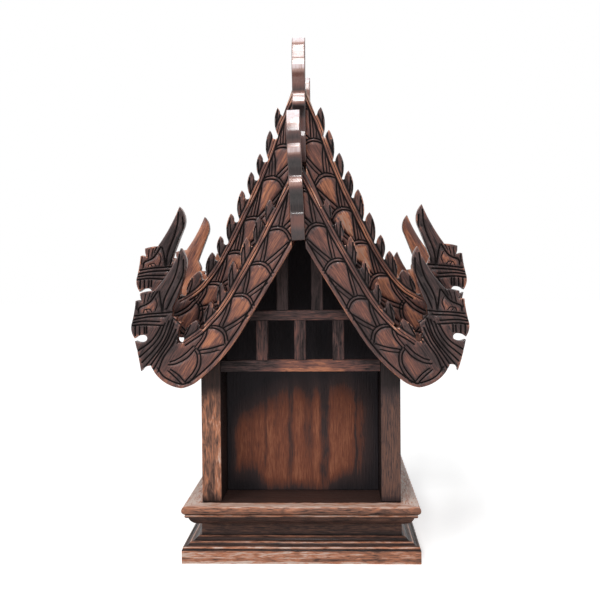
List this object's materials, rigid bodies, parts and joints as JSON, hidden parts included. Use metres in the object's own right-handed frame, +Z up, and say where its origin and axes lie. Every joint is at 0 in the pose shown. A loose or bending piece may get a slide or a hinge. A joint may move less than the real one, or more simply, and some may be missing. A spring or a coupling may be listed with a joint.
{
  "type": "wooden spirit house",
  "caption": "Tabletop wooden spirit house on a moulded plinth, with a two-tier gable roof, carved serpent bargeboards and upright finials.",
  "frame": {"origin": "on the surface it stands on, under the middle of the plinth", "axes": "+Z up; the gable ends face -Y (front) and +Y (rear); +X is to the right seen from the front"},
  "size_m": [0.344, 0.332, 0.533],
  "materials": {
    "carved_board": "hand carved, dark stain in the grooves, worn satin varnish",
    "polished_finial": "dark stain under glossy varnish",
    "plinth_wood": "worn brown stain with open grain",
    "roof_board": "plain sawn and stained",
    "panel_wood": "vertical grain, stain rubbed off in the middle",
    "wall_plank": "dark stain, worn edges",
    "lattice_wood": "dark stain, worn edges"
  },
  "bodies": {
    "root": {"floor_board": "plinth_wood", "foot_moulding_front": "plinth_wood", "foot_moulding_left": "plinth_wood", "foot_moulding_rear": "plinth_wood", "foot_moulding_right": "plinth_wood", "front_beam": "lattice_wood", "front_lattice_bar": "lattice_wood", "front_lower_finial": "polished_finial", "front_lower_roof_left": "roof_board", "front_lower_roof_right": "roof_board", "front_lower_serpent_left": "carved_board", "front_lower_serpent_right": "carved_board", "front_lower_struts": "lattice_wood", "front_panel": "panel_wood", "front_upper_finial": "polished_finial", "front_upper_serpent_left": "carved_board", "front_upper_serpent_right": "carved_board", "front_upper_struts": "lattice_wood", "ledge_moulding_front": "plinth_wood", "ledge_moulding_left": "plinth_wood", "ledge_moulding_rear": "plinth_wood", "ledge_moulding_right": "plinth_wood", "left_wall": "wall_plank", "neck_rail_front": "plinth_wood", "neck_rail_left": "plinth_wood", "neck_rail_rear": "plinth_wood", "neck_rail_right": "plinth_wood", "rear_beam": "lattice_wood", "rear_lattice_bar": "lattice_wood", "rear_lower_finial": "polished_finial", "rear_lower_roof_left": "roof_board", "rear_lower_roof_right": "roof_board", "rear_lower_serpent_left": "carved_board", "rear_lower_serpent_right": "carved_board", "rear_lower_struts": "lattice_wood", "rear_panel": "panel_wood", "rear_upper_finial": "polished_finial", "rear_upper_serpent_left": "carved_board", "rear_upper_serpent_right": "carved_board", "rear_upper_struts": "lattice_wood", "right_wall": "wall_plank", "upper_roof_left": "roof_board", "upper_roof_right": "roof_board"}
  },
  "joints": []
}
